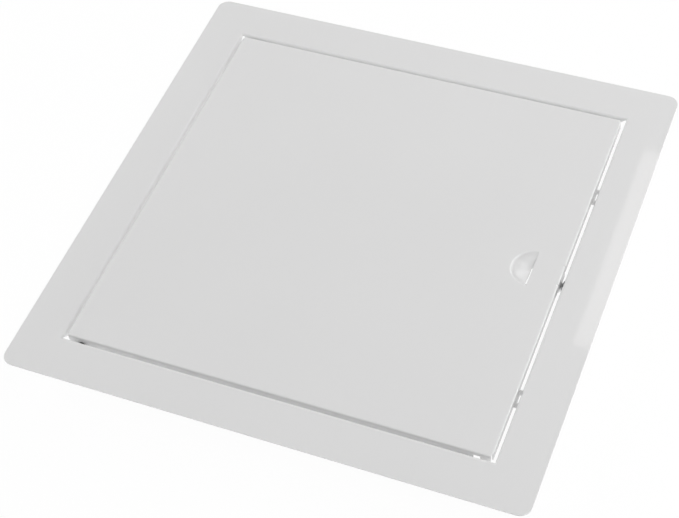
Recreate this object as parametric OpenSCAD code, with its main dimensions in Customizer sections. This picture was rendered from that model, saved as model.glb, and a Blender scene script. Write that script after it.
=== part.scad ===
// Ceiling access panel: a folded sheet-steel frame with a hinged, snap-shut door.
// Lies face up on the rear edges of its collar. X runs from the hinge side to the catch side,
// Y from the front to the rear, Z out of the visible face.

/* [Frame] */
// Outer side of the square flange
panel = 360; // [330:1:480]
// Clear side of the opening between the collar walls
opening = 298.6; // [260:0.2:310]
// Depth of the collar, from the flange's face to its rear edge
collar_depth = 32; // [30:0.5:45]
// Thickness of the frame's sheet
frame_sheet = 0.8; // [0.6:0.1:1.2]
// Radius of the flange's outer corners
flange_corner = 8; // [3:0.5:14]
// Outside radius of the fold between flange and collar
frame_fold = 1.8; // [1.4:0.1:2.2]
// Length by which each collar wall stops short of the opening's corner, just below the fold
wall_relief = 1; // [0.6:0.1:2]
// Length by which it is cut back further below that
wall_cut = 6.5; // [4:0.5:8]
// Height over which that cut slopes
wall_cut_run = 6; // [4:0.5:12]

/* [Door] */
// Thickness of the door's sheet
door_sheet = 0.8; // [0.6:0.1:0.9]
// Height of the closed door's face above the flange's face
door_proud = 0.5; // [0.3:0.1:1.5]
// Gap between door and collar on the hinge side
hinge_gap = 2.2; // [2.2:0.1:3.5]
// Gap between door and collar on the catch side
catch_gap = 2.7; // [2.7:0.1:3.6]
// Gap between door and collar at the front and at the rear
end_gap = 2.3; // [2:0.1:4]
// Depth of the turned-down lips
lip_depth = 6.5; // [5.5:0.1:8]
// Outside radius of the fold between face and lips
door_fold = 1; // [1:0.1:1.6]
// Length by which the front and rear lips stop short of the door's corners
lip_relief = 1; // [1:0.1:2]
// Length by which the side lips stop short of the door's corners
side_relief = 2.2; // [1.5:0.1:4]
// Width of the notch at the catch end of the front and rear lips
notch_w = 4.4; // [3:0.1:6]
// Distance from the door's catch-side edge to the middle of that notch
notch_inset = 10; // [8:0.5:14]
// Height of lip left above the notch, from the door's face
notch_land = 3.1; // [2.4:0.1:4]

/* [Finger pull] */
// Radius of the pull's half-moon where its rim leaves the door's face
pull_r = 15.5; // [12:0.5:18]
// Depth of the scoop at the middle of its straight edge
pull_depth = 5; // [4.5:0.1:7]
// Outside radius of the rolled rim
pull_rim = 2.4; // [1.4:0.1:3]
// Distance from the door's catch-side edge to the pull's straight edge
pull_inset = 20; // [16:0.5:40]
// Width of the slit between the pull's straight edge and the scoop
pull_slit = 1.8; // [1:0.1:3]
// Front end of the slit, from the pull's middle
slit_front = -12.5; // [-13:0.5:-6]
// Rear end of the slit, from the pull's middle
slit_rear = 4; // [2:0.5:11]

/* [Hinge] */
// Distance of the pivot from the door's hinge-side edge
pivot_inset = 10.4; // [8:0.1:13]
// Depth of the pivot below the flange's face
pivot_drop = 6; // [4.6:0.1:6.4]
// Diameter of the hinge pins
pin_d = 2.6; // [2:0.1:3]
// Diameter of a hinge pin's heads
pin_head_d = 5.2; // [4.6:0.1:6]
// Height of a hinge pin's inner head
pin_head_h = 1.2; // [1:0.1:2]
// Radial play of a pin in its lug
pin_play = 0.05; // [0.02:0.01:0.08]
// Diameter of the spacer washers
washer_d = 4.8; // [4.4:0.1:6]
// Width of a hinge lug
lug_w = 7.2; // [6.4:0.1:9]
// Height of the flat heads upset on the collar's outside, on hinge pins and catch rivets
upset_h = 0.5; // [0.3:0.1:0.6]
// Play left between moving pieces
play = 0.3; // [0.25:0.05:0.4]

/* [Catch] */
// Place of the catch and the finger pull along the door, from its middle
catch_y = 0; // [-20:1:20]
// Width of the door's striker tongue
striker_w = 14.5; // [13:0.5:20]
// Depth of the striker tongue below the door's face
striker_depth = 9.4; // [8.4:0.1:10.4]
// Width of the slots beside the striker tongue
striker_slot = 1.6; // [1:0.1:3]
// Length of those slots in the door's face, past the fold
slot_run = 0.4; // [0.3:0.1:2]
// Width of the hook that hangs from the striker
hook_w = 5; // [4:0.5:8]
// Depth of the hook's bulge below the door's face
hook_drop = 12.5; // [12.3:0.1:14]
// How far the bulge stands out from the striker
hook_bulge = 1; // [0.8:0.1:1.2]
// Height of each flank of the bulge
hook_rise = 1.4; // [1.2:0.1:1.8]
// Width of the catch spring
spring_w = 5; // [4:0.5:8]
// Width of the catch spring's riveted foot
spring_foot_w = 18; // [16:0.5:24]
// Thickness of the catch spring
spring_sheet = 0.5; // [0.3:0.05:0.6]
// How far the spring's nose reaches in over the hook's bulge
spring_bite = 0.6; // [0.4:0.1:0.7]
// Height of the spring's nose above the bulge
nose_rise = 2; // [1.9:0.1:2.6]
// Diameter of the catch rivets
rivet_d = 2.4; // [2:0.1:3]
// Diameter of a catch rivet's heads
rivet_head_d = 4.4; // [3.6:0.1:5]
// Height of a catch rivet's inner head
rivet_head_h = 0.9; // [0.6:0.1:1.2]
// Spacing of the catch rivets
rivet_spacing = 11; // [9:0.5:16]
// Height of the catch rivets above the collar's rear edge
rivet_z = 4; // [3:0.5:4.5]
// Width of spring foot left round a rivet's head
foot_land = 0.6; // [0.4:0.1:0.8]

/* [Stops] */
// Place of the front stop tongue along the catch side
stop_front = -97; // [-110:1:-70]
// Place of the rear stop tongue along the catch side
stop_rear = 78; // [70:1:110]
// Width of a stop tongue
stop_w = 13.5; // [11:0.5:18]
// Reach of a stop tongue into the opening
stop_reach = 5.4; // [5:0.1:7]
// Inside radius of a stop tongue's fold
stop_fold = 0.6; // [0.4:0.1:1]
// Width of the slot that weakens a stop tongue's fold
stop_slot_w = 6.4; // [4:0.1:8]
// Length of that slot from the collar's inner face into the tongue
stop_slot_run = 1.8; // [1.6:0.1:2.4]

/* [Fixing] */
// Diameter of the fixing holes in the collar walls
fixing_d = 4.5; // [3.5:0.1:6]
// Spacing of the two fixing holes in each wall
fixing_spacing = 100; // [60:1:120]
// Height of the fixing holes above the collar's rear edge
fixing_z = 10; // [6:0.5:12]

/* [Hidden] */
$fn = 64;

// A cut goes this far past the faces that it has to clear
over = 1;
half = opening / 2;
wall_top = collar_depth - frame_fold;
wall_end = half - wall_relief;

// The closed door's faces
door_left = -half + hinge_gap;
door_right = half - catch_gap;
door_end = half - end_gap;
door_top = collar_depth + door_proud;
lip_bottom = door_top - lip_depth;

// The hinge axis, and the ends and the notch of the front and rear lips
pivot_x = door_left + pivot_inset;
pivot_z = collar_depth - pivot_drop;
lip_left = door_left + lip_relief;
lip_right = door_right - lip_relief;
notch_left = door_right - notch_inset - notch_w / 2;
pin_seat = door_end - door_sheet - play;

// The hook below the striker and the spring that snaps over its bulge, as points on their middle lines
striker_bottom = door_top - striker_depth;
hook_x = door_right - door_sheet / 2;
hook_z = door_top - hook_drop;
hook_line = [[hook_x, striker_bottom + door_sheet], [hook_x, hook_z + hook_rise],
             [hook_x + hook_bulge, hook_z], [hook_x, hook_z - hook_rise]];
foot_reach = rivet_head_d / 2 + foot_land;
spring_x = half - spring_sheet / 2;
spring_foot = [[spring_x, rivet_z - foot_reach], [spring_x, rivet_z + foot_reach]];
bulge_x = door_right + hook_bulge;
spring_knee = [bulge_x + 2 * play + spring_sheet / 2, hook_z - play];
spring_nose = [bulge_x - spring_bite + spring_sheet / 2, hook_z + nose_rise];
spring_tail = [spring_nose[0] + spring_bite, spring_nose[1] + nose_rise];

// Slope at which the scoop meets its rim, and the radii that follow from it
scoop_slope = 2 * atan(pull_depth / pull_r);
scoop_r = pull_r / sin(scoop_slope) - pull_rim;
scoop_z = (scoop_r + pull_rim) * cos(scoop_slope) - pull_rim;
pull_x = door_right - pull_inset;
rim_steps = 6;
scoop_steps = 12;

paint = "#DADADA";
zinc = "#A9ACB0";
nylon = "#303032";

module rounded_square(side, r) {
    square([side - 2 * r, side], center = true);
    square([side, side - 2 * r], center = true);
    for (sx = [-1, 1], sy = [-1, 1])
        translate([sx, sy] * (side / 2 - r))
            circle(r);
}

// Quarter of a sheet's fold round the origin, in the quadrant of the signs sx and sy
module fold_quarter(outer, sheet, sx, sy) {
    intersection() {
        difference() {
            circle(outer);
            circle(outer - sheet);
        }
        translate([sx < 0 ? -outer : 0, sy < 0 ? -outer : 0])
            square(outer);
    }
}

// Section of a sheet that is folded down: upright leg on x = 0, fold at its top, towards +x
module folded_edge(height, fold, sheet) {
    square([sheet, height - fold]);
    translate([fold, height - fold])
        fold_quarter(fold, sheet, -1, 1);
}

// Stands an (x, z) section up and runs it along Y, centred
module along_y(length) {
    rotate([90, 0, 0])
        linear_extrude(length, center = true)
            children();
}

// Section of a tongue that was lanced from the wall on x = 0 and folded inwards, upper face on z = 0
module tongue_section(reach, fold, sheet) {
    translate([-fold, fold])
        fold_quarter(fold + sheet, sheet, 1, -1);
    translate([-reach, -sheet])
        square([reach - fold, sheet]);
}

// Section of a strip of the given thickness along a line of points, with round joints
module strip_section(points, sheet) {
    for (i = [0 : len(points) - 2]) {
        step = points[i + 1] - points[i];
        translate(points[i])
            rotate(atan2(step[1], step[0]))
                translate([0, -sheet / 2])
                    square([norm(step), sheet]);
    }
    for (i = [1 : len(points) - 1])
        translate(points[i])
            circle(d = sheet);
}

// One side of the collar, inner face on x = 0: a fold that meets its neighbours, and a wall with cut ends
module collar_side() {
    along_y(opening + 2 * frame_fold)
        translate([frame_fold, wall_top])
            fold_quarter(frame_fold, frame_sheet, -1, 1);
    foot = wall_end - wall_cut;
    shoulder = wall_top - wall_cut_run;
    rotate([90, 0, 90])
        linear_extrude(frame_sheet)
            polygon([[wall_end, wall_top], [foot, shoulder], [foot, 0],
                     [-foot, 0], [-foot, shoulder], [-wall_end, wall_top]]);
}

module frame() {
    stop_z = lip_bottom - play;
    color(paint)
    difference() {
        union() {
            translate([0, 0, collar_depth - frame_sheet])
                linear_extrude(frame_sheet)
                    difference() {
                        rounded_square(panel, flange_corner);
                        square(opening + 2 * frame_fold, center = true);
                    }
            difference() {
                for (side = [0 : 3])
                    rotate(90 * side)
                        translate([half, 0, 0])
                            collar_side();
                for (y = [stop_front, stop_rear])
                    translate([half - over, y - stop_w / 2, stop_z - frame_sheet - stop_reach])
                        cube([frame_sheet + 2 * over, stop_w, stop_reach + frame_sheet + stop_fold]);
            }
            for (y = [stop_front, stop_rear])
                translate([half, y, stop_z])
                    difference() {
                        along_y(stop_w)
                            tongue_section(stop_reach, stop_fold, frame_sheet);
                        translate([-stop_slot_run, -stop_slot_w / 2, -frame_sheet - over])
                            cube([stop_slot_run + frame_sheet + over, stop_slot_w,
                                  frame_sheet + stop_fold + over]);
                    }
        }
        for (side = [0 : 3], place = [-0.5, 0.5])
            rotate(90 * side)
                translate([half - over, place * fixing_spacing, fixing_z])
                    rotate([0, 90, 0])
                        cylinder(d = fixing_d, h = frame_sheet + 2 * over);
        for (end = [-1, 1])
            translate([pivot_x, end * half, pivot_z])
                rotate([90, 0, 0])
                    cylinder(d = pin_d, h = 2 * (frame_sheet + over), center = true);
        for (place = [-0.5, 0.5])
            translate([half - over, catch_y + place * rivet_spacing, rivet_z])
                rotate([0, 90, 0])
                    cylinder(d = rivet_d, h = frame_sheet + 2 * over);
    }
}

// Points down the pull's face, offset by one sheet for its back: over the rolled rim, then down the scoop
function rim_arc(r) = [for (i = [0 : rim_steps])
    let (a = scoop_slope * i / rim_steps)
    [pull_r - r * sin(a), r * cos(a) - pull_rim]];
function scoop_arc(r) = [for (i = [scoop_steps - 1 : -1 : 0])
    let (a = scoop_slope * i / scoop_steps)
    [r * sin(a), scoop_z - r * cos(a)]];

// Section of the pull through its middle, with a land that laps into the door's sheet
module pull_section() {
    face = concat(rim_arc(pull_rim), scoop_arc(scoop_r));
    back = concat(rim_arc(pull_rim - door_sheet), scoop_arc(scoop_r + door_sheet));
    land = [[pull_r + door_sheet, -door_sheet], [pull_r + door_sheet, 0]];
    polygon(concat(face, [for (i = [len(back) - 1 : -1 : 0]) back[i]], land));
}

// Front or rear lip with its hinge lug, outer face on y = 0, door towards -y
module end_lip() {
    length = lip_right - lip_left;
    difference() {
        translate([lip_left + length / 2, 0, lip_bottom])
            rotate(-90)
                along_y(length)
                    folded_edge(lip_depth, door_fold, door_sheet);
        translate([notch_left, -door_sheet - over, lip_bottom - over])
            cube([notch_w, door_sheet + 2 * over, lip_depth - notch_land + over]);
    }
    translate([pivot_x - lug_w / 2, -door_sheet, pivot_z])
        cube([lug_w, door_sheet, door_top - door_fold - pivot_z]);
    translate([pivot_x, 0, pivot_z])
        rotate([90, 0, 0])
            cylinder(d = lug_w, h = door_sheet);
}

module side_lip() {
    along_y(2 * (door_end - side_relief))
        folded_edge(lip_depth, door_fold, door_sheet);
}

// Striker tongue with the bent hook below it
module striker() {
    translate([door_right - door_sheet, catch_y - striker_w / 2, striker_bottom])
        cube([door_sheet, striker_w, striker_depth - door_fold]);
    translate([0, catch_y, 0])
        along_y(hook_w)
            strip_section(hook_line, door_sheet);
}

module striker_slots() {
    slot_x = door_right - door_fold - slot_run;
    for (side = [-1, 1])
        translate([slot_x, catch_y + side * (striker_w + striker_slot) / 2 - striker_slot / 2,
                   lip_bottom - over])
            cube([door_fold + slot_run + over, striker_slot, lip_depth + 2 * over]);
}

module door_leaf() {
    color(paint)
    difference() {
        union() {
            difference() {
                translate([door_left + door_fold, -door_end + door_fold, door_top - door_sheet])
                    cube([door_right - door_left - 2 * door_fold, 2 * (door_end - door_fold), door_sheet]);
                translate([pull_x, catch_y, door_top])
                    intersection() {
                        cylinder(r = pull_r, h = 4 * door_sheet, center = true);
                        translate([-2 * pull_r, -pull_r, -pull_r])
                            cube(2 * pull_r);
                    }
            }
            translate([pull_x, catch_y, door_top])
                difference() {
                    rotate(90)
                        rotate_extrude(angle = 180)
                            pull_section();
                    translate([-pull_slit, slit_front, -2 * pull_depth])
                        cube([2 * pull_slit, slit_rear - slit_front, 2 * pull_depth]);
                }
            translate([door_left, 0, lip_bottom])
                side_lip();
            translate([door_right, 0, lip_bottom])
                mirror([1, 0, 0])
                    side_lip();
            translate([0, door_end, 0])
                end_lip();
            mirror([0, 1, 0])
                translate([0, door_end, 0])
                    end_lip();
            striker();
        }
        striker_slots();
        for (end = [-1, 1])
            translate([pivot_x, end * door_end, pivot_z])
                rotate([90, 0, 0])
                    cylinder(r = pin_d / 2 + pin_play, h = 2 * (door_sheet + over), center = true);
    }
}

// Section of a domed head that stands on y = 0
module dome_section(d, h) {
    dome_r = (d * d / 4 + h * h) / (2 * h);
    intersection() {
        translate([0, h - dome_r])
            circle(dome_r);
        square([d / 2, h]);
    }
}

// Rivet along +Z with its grip between z = 0 and z = grip: domed head below, upset head above
module rivet(d, grip, head_d, head_h) {
    rotate_extrude() {
        square([d / 2, grip]);
        translate([0, grip])
            dome_section(head_d, upset_h);
        mirror([0, 1])
            dome_section(head_d, head_h);
    }
}

// Hinge pin and washer of the rear end: end = 1, of the front end: end = -1
module hinge_pin(end) {
    color(zinc)
    translate([pivot_x, end * pin_seat, pivot_z])
        rotate([-90 * end, 0, 0])
            rivet(pin_d, half + frame_sheet - pin_seat, pin_head_d, pin_head_h);
}

module hinge_washer(end) {
    color(nylon)
    translate([pivot_x, end * half, pivot_z])
        rotate([90 * end, 0, 0])
            linear_extrude(end_gap - play)
                difference() {
                    circle(d = washer_d);
                    circle(pin_d / 2 + pin_play);
                }
}

module catch_spring() {
    color(zinc)
    translate([0, catch_y, 0])
        difference() {
            union() {
                along_y(spring_foot_w)
                    strip_section(spring_foot, spring_sheet);
                along_y(spring_w)
                    strip_section([spring_foot[1], spring_knee, spring_nose, spring_tail], spring_sheet);
            }
            for (place = [-0.5, 0.5])
                translate([spring_x, place * rivet_spacing, rivet_z])
                    rotate([0, 90, 0])
                        cylinder(d = rivet_d, h = spring_sheet + 2 * over, center = true);
        }
}

module catch_rivets() {
    color(zinc)
    for (place = [-0.5, 0.5])
        translate([half - spring_sheet, catch_y + place * rivet_spacing, rivet_z])
            rotate([0, 90, 0])
                rivet(rivet_d, spring_sheet + frame_sheet, rivet_head_d, rivet_head_h);
}

frame();
door_leaf();
hinge_pin(-1);  // hinge_pin_front
hinge_pin(1);  // hinge_pin_rear
hinge_washer(-1);  // hinge_washer_front
hinge_washer(1);  // hinge_washer_rear
catch_spring();
catch_rivets();
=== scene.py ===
"""Finishes of a ceiling access panel: powder-coated steel, hinge and catch fittings, and a pale studio."""

import math

import bpy
from bpy.props import FloatProperty, FloatVectorProperty, PointerProperty
from mathutils import Matrix, Vector


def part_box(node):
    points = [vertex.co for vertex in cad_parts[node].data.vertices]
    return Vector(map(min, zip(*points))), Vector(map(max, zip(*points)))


bl_info = {
    "name": "Ceiling Access Panel",
    "version": (1, 0, 0),
    "blender": (4, 5, 0),
    "location": "View3D > Sidebar > Access Panel",
    "description": "Finishes the folded frame, the door, the hinge and the catch, and lights them",
    "category": "Object",
}

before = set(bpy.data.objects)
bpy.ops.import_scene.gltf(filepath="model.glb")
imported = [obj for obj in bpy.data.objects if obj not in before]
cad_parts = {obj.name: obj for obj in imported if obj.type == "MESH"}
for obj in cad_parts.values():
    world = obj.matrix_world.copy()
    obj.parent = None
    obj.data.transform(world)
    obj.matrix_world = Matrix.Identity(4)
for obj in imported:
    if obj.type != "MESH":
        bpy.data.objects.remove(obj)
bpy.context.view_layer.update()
MM = 0.001
UP = Vector((0, 0, 1))
WHITE = "#FFFFFF"

# Shares by which the powder coat's colour and roughness stray from their values
TINT_STRAY = 0.015
SHEEN_STRAY = 0.2

# Colour sockets of a Mix node, by number, because its sockets for other kinds have the same names
MIX_A = 6
MIX_B = 7
MIX_RESULT = 2

# Side of the floor in metres, and width of the camera's sensor in millimetres
FLOOR_SIDE = 12
SENSOR_WIDTH = 36

# Soft lights that look at the panel's middle: place, then width and depth, in metres
SOFT_LIGHTS = {
    "front": ((0.2, -1.4, 2.2), (3.0, 2.4)),
    "right": ((1.2, 0.2, 2.0), (1.4, 1.4)),
    "left": ((-1.5, 0.2, 1.0), (1.4, 1.2)),
    "card": ((0.85, 1.0, 1.2), (1.4, 1.4)),
    "back": ((0.0, 1.8, 0.9), (2.0, 1.0)),
    "low": ((0.55, 0.0, 0.06), (0.5, 0.025)),
}

# The strip light looks straight down, and the flange of the catch side mirrors its edge
STRIP_PLACE = Vector((0.165, 0.994, 1.232))
STRIP_SIZE = (0.4, 0.42)
STRIP_COLOUR = "#FFFAF8"

# Strips of lit table below three of the gaps: the way to each from the panel's middle, their places and sizes
TABLE_STRIPS = {"hinge": (-1, 0), "rear": (0, 1), "front": (0, -1)}
TABLE_STRIP_REACH = 128 * MM
TABLE_STRIP_HEIGHT = 2 * MM
TABLE_STRIP_WIDTH = 40 * MM
TABLE_STRIP_LENGTH = 280 * MM


def linear(hex_colour):
    """An sRGB hex value as linear red, green and blue."""
    channels = [int(hex_colour[i:i + 2], 16) / 255 for i in (1, 3, 5)]
    return tuple(c / 12.92 if c <= 0.04045 else ((c + 0.055) / 1.055) ** 2.4 for c in channels)


def add_node(tree, kind, settings=None, links=None):
    """A node with its settings, which name attributes or inputs, and with links into its inputs."""
    node = tree.nodes.new(kind)
    for key, value in (settings or {}).items():
        if isinstance(key, str) and hasattr(node, key):
            setattr(node, key, value)
        else:
            node.inputs[key].default_value = value
    for key, socket in (links or {}).items():
        tree.links.new(socket, node.inputs[key])
    return node


def new_material(name):
    """An empty material, with its tree, its Object coordinates and its shader."""
    material = bpy.data.materials.new(name)
    material.use_nodes = True
    tree = material.node_tree
    tree.nodes.clear()
    coords = add_node(tree, "ShaderNodeTexCoord").outputs["Object"]
    shader = add_node(tree, "ShaderNodeBsdfPrincipled")
    add_node(tree, "ShaderNodeOutputMaterial", links={"Surface": shader.outputs["BSDF"]})
    return material, tree, coords, shader


def add_skin(tree, shader, pattern, smoothest, roughest, height, below=None):
    """Lets a pattern vary the shader's roughness and raise its surface, above the waves below if any."""
    sheen = add_node(
        tree, "ShaderNodeMapRange", {"To Min": smoothest, "To Max": roughest}, {"Value": pattern})
    relief = add_node(tree, "ShaderNodeBump", {"Strength": 1.0, "Distance": height}, {"Height": pattern})
    if below is not None:
        tree.links.new(below, relief.inputs["Normal"])
    tree.links.new(sheen.outputs["Result"], shader.inputs["Roughness"])
    tree.links.new(relief.outputs["Normal"], shader.inputs["Normal"])


def dress(node_name, material):
    """Gives a CAD node its finish as its only material."""
    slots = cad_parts[node_name].data.materials
    slots.clear()
    slots.append(material)


class PaintSettings(bpy.types.PropertyGroup):
    """Powder coat of the frame and the door."""

    colour: FloatVectorProperty(
        name="Colour", description="Colour of the powder coat", subtype="COLOR", size=3,
        min=0, max=1, default=linear("#E6E6E6"))
    roughness: FloatProperty(
        name="Roughness", description="Roughness of the glossy film", subtype="FACTOR",
        min=0, max=1, default=0.03)
    peel: FloatProperty(
        name="Orange peel", description="Width of the film's fine waves", unit="LENGTH",
        default=2.4 * MM)
    peel_height: FloatProperty(
        name="Peel height", description="Height of the film's fine waves", unit="LENGTH",
        default=0.0002 * MM)
    wave: FloatProperty(
        name="Sheet waves", description="Width of the slow waves in the pressed sheet", unit="LENGTH",
        default=110 * MM)
    wave_height: FloatProperty(
        name="Wave height", description="Height of the slow waves in the pressed sheet", unit="LENGTH",
        default=0.02 * MM)


class FittingSettings(bpy.types.PropertyGroup):
    """Metal and plastic of the hinge and the catch. Their patterns are coarser than real, so they show."""

    zinc: FloatVectorProperty(
        name="Zinc", description="Colour of the zinc-plated pins and rivets", subtype="COLOR", size=3,
        min=0, max=1, default=linear("#C2C5C9"))
    mottle: FloatProperty(
        name="Zinc mottle", description="Width of the zinc's duller spots", unit="LENGTH",
        default=0.8 * MM)
    spring: FloatVectorProperty(
        name="Spring steel", description="Colour of the catch spring", subtype="COLOR", size=3,
        min=0, max=1, default=linear("#9C9EA1"))
    grain: FloatProperty(
        name="Rolling lines", description="Spacing of the spring strip's rolling lines", unit="LENGTH",
        default=0.25 * MM)
    grain_length: FloatProperty(
        name="Line length", description="Length of the spring strip's rolling lines", unit="LENGTH",
        default=5 * MM)
    # The washers' black is partly painted shade: they sit in the notch beside the hinge lug and darken it in
    # place of its shadow
    nylon: FloatVectorProperty(
        name="Nylon", description="Colour of the spacer washers", subtype="COLOR", size=3,
        min=0, max=1, default=linear("#2B2B2D"))
    eggshell: FloatProperty(
        name="Nylon eggshell", description="Width of the dimples in the moulded nylon", unit="LENGTH",
        default=0.6 * MM)


class StageSettings(bpy.types.PropertyGroup):
    """Camera, floor and light."""

    azimuth: FloatProperty(
        name="Azimuth", description="Camera's turn to the right of the front", subtype="ANGLE",
        default=math.radians(27.005))
    elevation: FloatProperty(
        name="Elevation", description="Camera's height above the horizon", subtype="ANGLE",
        default=math.radians(51.162))
    roll: FloatProperty(
        name="Roll", description="Camera's turn about its own axis", subtype="ANGLE",
        default=math.radians(-7.094))
    distance: FloatProperty(
        name="Distance", description="Camera's distance from the panel's middle", unit="LENGTH",
        default=1.11766)
    aside: FloatProperty(
        name="Aside", description="Camera's place to its right of the panel's middle", unit="LENGTH",
        default=-0.0104)
    above: FloatProperty(
        name="Above", description="Camera's place above the panel's middle in the picture", unit="LENGTH",
        default=-0.0239)
    lens: FloatProperty(
        name="Lens", description="Focal length of the camera", unit="CAMERA", default=86.66)
    floor: FloatVectorProperty(
        name="Floor", description="Colour of the floor", subtype="COLOR", size=3,
        min=0, max=1, default=linear(WHITE))
    floor_glow: FloatProperty(
        name="Floor glow", description="Share of the floor's white that needs no lamp, as the camera sees it",
        subtype="FACTOR", min=0, max=1, default=0.95)
    floor_light: FloatProperty(
        name="Floor light", description="Share of the floor's white that shines up into the collar",
        subtype="FACTOR", min=0, max=1, default=0.95)
    front_power: FloatProperty(
        name="Front light", description="Power of the soft light above the camera's side", unit="POWER",
        default=32.5)
    right_power: FloatProperty(
        name="Right light", description="Power of the high light on the catch side", unit="POWER",
        default=8)
    left_power: FloatProperty(
        name="Left light", description="Power of the light on the hinge side", unit="POWER",
        default=12.5)
    card_power: FloatProperty(
        name="Card light", description="Power of the card behind the catch side", unit="POWER",
        default=9.5)
    back_power: FloatProperty(
        name="Back light", description="Power of the light behind the panel", unit="POWER",
        default=6.5)
    low_power: FloatProperty(
        name="Low light", description="Power of the low light that grazes the pull's rim and the door's fold",
        unit="POWER", default=0.85)
    strip_power: FloatProperty(
        name="Strip light", description="Power of the strip that the catch side's flange mirrors",
        unit="POWER", default=0.9)
    hinge_glow: FloatProperty(
        name="Hinge glow", description="Power of the strip of lit table below the hinge side's gap",
        unit="POWER", default=0.036)
    rear_glow: FloatProperty(
        name="Rear glow", description="Power of the strip of lit table below the rear gap",
        unit="POWER", default=0.014)
    front_glow: FloatProperty(
        name="Front glow", description="Power of the strip of lit table below the front gap",
        unit="POWER", default=0.012)
    sky: FloatProperty(
        name="Sky", description="Strength of the even light all round", min=0, default=0.05)


def powder_coat(name, paint):
    """Polyester powder coat on pressed steel: a glossy film with a trace of orange peel and slow waves."""
    material, tree, coords, shader = new_material(name)
    wave = add_node(tree, "ShaderNodeTexNoise", {"Scale": 1 / paint.wave, "Detail": 1.0}, {"Vector": coords})
    peel = add_node(tree, "ShaderNodeTexNoise", {"Scale": 1 / paint.peel, "Detail": 2.0}, {"Vector": coords})
    tint = add_node(
        tree, "ShaderNodeMix", {
            "data_type": "RGBA",
            MIX_A: (*[c * (1 - TINT_STRAY) for c in paint.colour], 1),
            MIX_B: (*[min(1, c * (1 + TINT_STRAY)) for c in paint.colour], 1),
        }, {0: wave.outputs["Fac"]})
    slow = add_node(
        tree, "ShaderNodeBump", {"Strength": 1.0, "Distance": paint.wave_height},
        {"Height": wave.outputs["Fac"]})
    add_skin(
        tree, shader, peel.outputs["Fac"], smoothest=paint.roughness * (1 - SHEEN_STRAY),
        roughest=paint.roughness * (1 + SHEEN_STRAY), height=paint.peel_height, below=slow.outputs["Normal"])
    shader.inputs["IOR"].default_value = 1.5
    tree.links.new(tint.outputs[MIX_RESULT], shader.inputs["Base Color"])
    return material


def zinc_plate(name, fittings):
    """Bright zinc on cold-headed steel: a grey metal with a mottled sheen."""
    material, tree, coords, shader = new_material(name)
    mottle = add_node(
        tree, "ShaderNodeTexNoise", {"Scale": 1 / fittings.mottle, "Detail": 3.0}, {"Vector": coords})
    add_skin(tree, shader, mottle.outputs["Fac"], smoothest=0.24, roughest=0.46, height=0.01 * MM)
    shader.inputs["Base Color"].default_value = (*fittings.zinc, 1)
    shader.inputs["Metallic"].default_value = 1
    return material


def rolled_spring(fittings):
    """Hardened strip steel: fine rolling lines along the strip give a streaked metal sheen."""
    material, tree, coords, shader = new_material("rolled_spring_steel")
    along = 1 / fittings.grain_length
    across = 1 / fittings.grain
    stretched = add_node(tree, "ShaderNodeMapping", {"Scale": (along, across, along)}, {"Vector": coords})
    lines = add_node(
        tree, "ShaderNodeTexNoise", {"Scale": 1.0, "Detail": 2.0}, {"Vector": stretched.outputs["Vector"]})
    add_skin(tree, shader, lines.outputs["Fac"], smoothest=0.22, roughest=0.42, height=0.006 * MM)
    shader.inputs["Base Color"].default_value = (*fittings.spring, 1)
    shader.inputs["Metallic"].default_value = 1
    return material


def moulded_nylon(fittings):
    """Moulded nylon with a dull eggshell surface, coloured black as painted shade: the real spacer washers
    darken the notch beside the hinge lug as its shadow would.
    """
    material, tree, coords, shader = new_material("moulded_nylon")
    dimples = add_node(
        tree, "ShaderNodeTexNoise", {"Scale": 1 / fittings.eggshell, "Detail": 2.0}, {"Vector": coords})
    add_skin(tree, shader, dimples.outputs["Fac"], smoothest=0.42, roughest=0.55, height=0.008 * MM)
    shader.inputs["Base Color"].default_value = (*fittings.nylon, 1)
    shader.inputs["IOR"].default_value = 1.53
    return material


class ACCESSPANEL_OT_frame(bpy.types.Operator):
    """Powder-coats the folded frame."""

    bl_idname = "access_panel.frame"
    bl_label = "Frame"

    def execute(self, context):
        dress("frame", powder_coat("powder_coat_frame", context.scene.access_panel_paint))
        return {"FINISHED"}


class ACCESSPANEL_OT_door(bpy.types.Operator):
    """Powder-coats the pressed door leaf."""

    bl_idname = "access_panel.door"
    bl_label = "Door Leaf"

    def execute(self, context):
        dress("door_leaf", powder_coat("powder_coat_door", context.scene.access_panel_paint))
        return {"FINISHED"}


class ACCESSPANEL_OT_hinge(bpy.types.Operator):
    """Finishes the hinge pins and their spacer washers."""

    bl_idname = "access_panel.hinge"
    bl_label = "Hinge"

    def execute(self, context):
        fittings = context.scene.access_panel_fittings
        plate = zinc_plate("zinc_plate_pins", fittings)
        nylon = moulded_nylon(fittings)
        for end in ("front", "rear"):
            dress("hinge_pin_" + end, plate)
            # The washers take the black nylon, which paints the shade in the notch beside the hinge lug
            dress("hinge_washer_" + end, nylon)
        return {"FINISHED"}


class ACCESSPANEL_OT_catch(bpy.types.Operator):
    """Finishes the catch spring and its rivets."""

    bl_idname = "access_panel.catch"
    bl_label = "Catch"

    def execute(self, context):
        fittings = context.scene.access_panel_fittings
        dress("catch_spring", rolled_spring(fittings))
        dress("catch_rivets", zinc_plate("zinc_plate_rivets", fittings))
        return {"FINISHED"}


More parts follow.
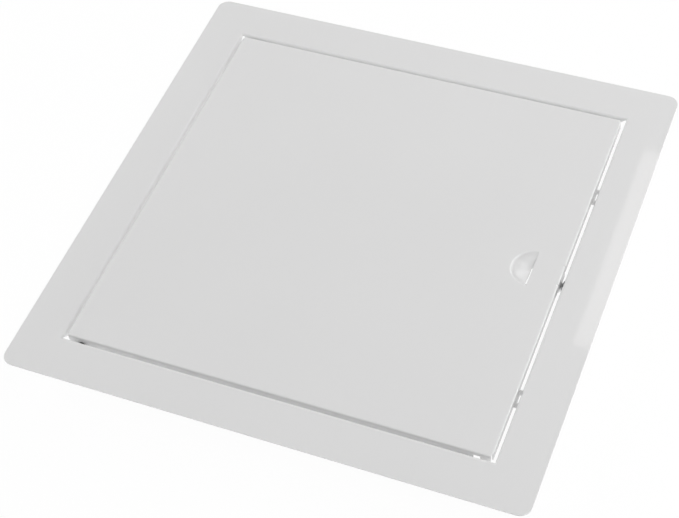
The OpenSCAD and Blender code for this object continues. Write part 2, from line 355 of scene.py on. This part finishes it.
def lit_paper(stage):
    """Seamless white paper on a lit table: near white by itself, and it still takes a faint shadow."""
    material = bpy.data.materials.new("seamless_paper")
    material.use_nodes = True
    tree = material.node_tree
    tree.nodes.clear()
    path = add_node(tree, "ShaderNodeLightPath")
    direct = add_node(
        tree, "ShaderNodeMath", {"operation": "MAXIMUM"},
        {0: path.outputs["Is Camera Ray"], 1: path.outputs["Is Glossy Ray"]})
    seen = add_node(
        tree, "ShaderNodeMath", {"operation": "MAXIMUM"},
        {0: direct.outputs[0], 1: path.outputs["Is Transmission Ray"]})
    paper = add_node(tree, "ShaderNodeBsdfDiffuse", {"Color": (*stage.floor, 1)})
    glow = add_node(tree, "ShaderNodeEmission", {"Color": (*stage.floor, 1)})
    share = add_node(
        tree, "ShaderNodeMapRange", {"To Min": stage.floor_light, "To Max": stage.floor_glow},
        {"Value": seen.outputs[0]})
    mix = add_node(tree, "ShaderNodeMixShader", links={
        0: share.outputs["Result"], 1: paper.outputs["BSDF"], 2: glow.outputs["Emission"]})
    add_node(tree, "ShaderNodeOutputMaterial", links={"Surface": mix.outputs["Shader"]})
    return material


def area_light(name, place, aim, size, power, colour=WHITE):
    """A rectangular soft light that looks at a point and doesn't show in the picture itself."""
    lamp = bpy.data.lights.new(name, "AREA")
    lamp.shape = "RECTANGLE"
    lamp.size, lamp.size_y = size
    lamp.energy = power
    lamp.color = linear(colour)
    light = bpy.data.objects.new(name, lamp)
    light.location = place
    light.rotation_euler = (Vector(aim) - Vector(place)).to_track_quat("-Z", "Y").to_euler()
    light.visible_camera = False
    bpy.context.scene.collection.objects.link(light)
    return light


def table_strip(name, way, power):
    """A strip of lit table below a gap, which lights the gap from below and shows in no reflection."""
    place = Vector((*way, 0)) * TABLE_STRIP_REACH + UP * TABLE_STRIP_HEIGHT
    size = (TABLE_STRIP_WIDTH, TABLE_STRIP_LENGTH)
    if way[0] == 0:
        size = (TABLE_STRIP_LENGTH, TABLE_STRIP_WIDTH)
    light = area_light(name, place, place + UP, size, power)
    light.visible_glossy = False


def camera_matrix(stage, middle):
    """The camera's place: turned about the panel's middle, rolled, then moved in its own picture plane."""
    back = Vector((
        math.sin(stage.azimuth) * math.cos(stage.elevation),
        -math.cos(stage.azimuth) * math.cos(stage.elevation),
        math.sin(stage.elevation)))
    right = UP.cross(back).normalized()
    turn = Matrix((right, back.cross(right), back)).transposed()
    turn = turn @ Matrix.Rotation(stage.roll, 3, "Z")
    place = middle + turn @ Vector((stage.aside, stage.above, stage.distance))
    return Matrix.Translation(place) @ turn.to_4x4()


class ACCESSPANEL_OT_stage(bpy.types.Operator):
    """Sets the floor, the lights and the camera."""

    bl_idname = "access_panel.stage"
    bl_label = "Stage"

    def execute(self, context):
        scene = context.scene
        stage = scene.access_panel_stage
        low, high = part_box("frame")
        middle = Vector(((low[0] + high[0]) / 2, (low[1] + high[1]) / 2, high[2]))

        bpy.ops.mesh.primitive_plane_add(size=FLOOR_SIDE, location=(middle.x, middle.y, low[2]))
        floor = context.object
        floor.name = "floor"
        floor.data.materials.append(lit_paper(stage))

        for name, (place, size) in SOFT_LIGHTS.items():
            area_light(name + "_light", place, middle, size, getattr(stage, name + "_power"))
        area_light("strip_light", STRIP_PLACE, STRIP_PLACE - UP, STRIP_SIZE, stage.strip_power, STRIP_COLOUR)
        for name, way in TABLE_STRIPS.items():
            table_strip(name + "_glow", way, getattr(stage, name + "_glow"))

        world = bpy.data.worlds.new("studio")
        world.use_nodes = True
        world.node_tree.nodes.clear()
        sky = add_node(
            world.node_tree, "ShaderNodeBackground", {"Strength": stage.sky, "Color": (*linear(WHITE), 1)})
        add_node(world.node_tree, "ShaderNodeOutputWorld", links={"Surface": sky.outputs["Background"]})
        scene.world = world

        lens = bpy.data.cameras.new("camera")
        lens.sensor_width = SENSOR_WIDTH
        lens.lens = stage.lens
        camera = bpy.data.objects.new("camera", lens)
        camera.matrix_world = camera_matrix(stage, middle)
        scene.collection.objects.link(camera)
        scene.camera = camera
        scene.view_settings.view_transform = "Standard"
        return {"FINISHED"}


class ACCESSPANEL_PT_sidebar(bpy.types.Panel):
    """Lists the steps and the values that a user would change."""

    bl_idname = "ACCESSPANEL_PT_sidebar"
    bl_label = "Access Panel"
    bl_space_type = "VIEW_3D"
    bl_region_type = "UI"
    bl_category = "Access Panel"

    def draw(self, context):
        column = self.layout.column()
        for step in STEPS:
            column.operator(step.bl_idname)
        for group in SETTINGS:
            settings = getattr(context.scene, group)
            box = self.layout.box()
            for name in settings.__annotations__:
                box.prop(settings, name)


SETTINGS = {
    "access_panel_paint": PaintSettings,
    "access_panel_fittings": FittingSettings,
    "access_panel_stage": StageSettings,
}
STEPS = (
    ACCESSPANEL_OT_frame,
    ACCESSPANEL_OT_door,
    ACCESSPANEL_OT_hinge,
    ACCESSPANEL_OT_catch,
    ACCESSPANEL_OT_stage,
)


def register():
    """Adds the settings, the steps and the sidebar."""
    for name, group in SETTINGS.items():
        bpy.utils.register_class(group)
        setattr(bpy.types.Scene, name, PointerProperty(type=group))
    for cls in (*STEPS, ACCESSPANEL_PT_sidebar):
        bpy.utils.register_class(cls)


def unregister():
    """Takes the sidebar, the steps and the settings away again."""
    for cls in (ACCESSPANEL_PT_sidebar, *reversed(STEPS)):
        bpy.utils.unregister_class(cls)
    for name, group in reversed(SETTINGS.items()):
        delattr(bpy.types.Scene, name)
        bpy.utils.unregister_class(group)


def main():
    """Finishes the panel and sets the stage."""
    register()
    bpy.ops.access_panel.frame()
    bpy.ops.access_panel.door()
    bpy.ops.access_panel.hinge()
    bpy.ops.access_panel.catch()
    bpy.ops.access_panel.stage()


if __name__ == "__main__":
    main()
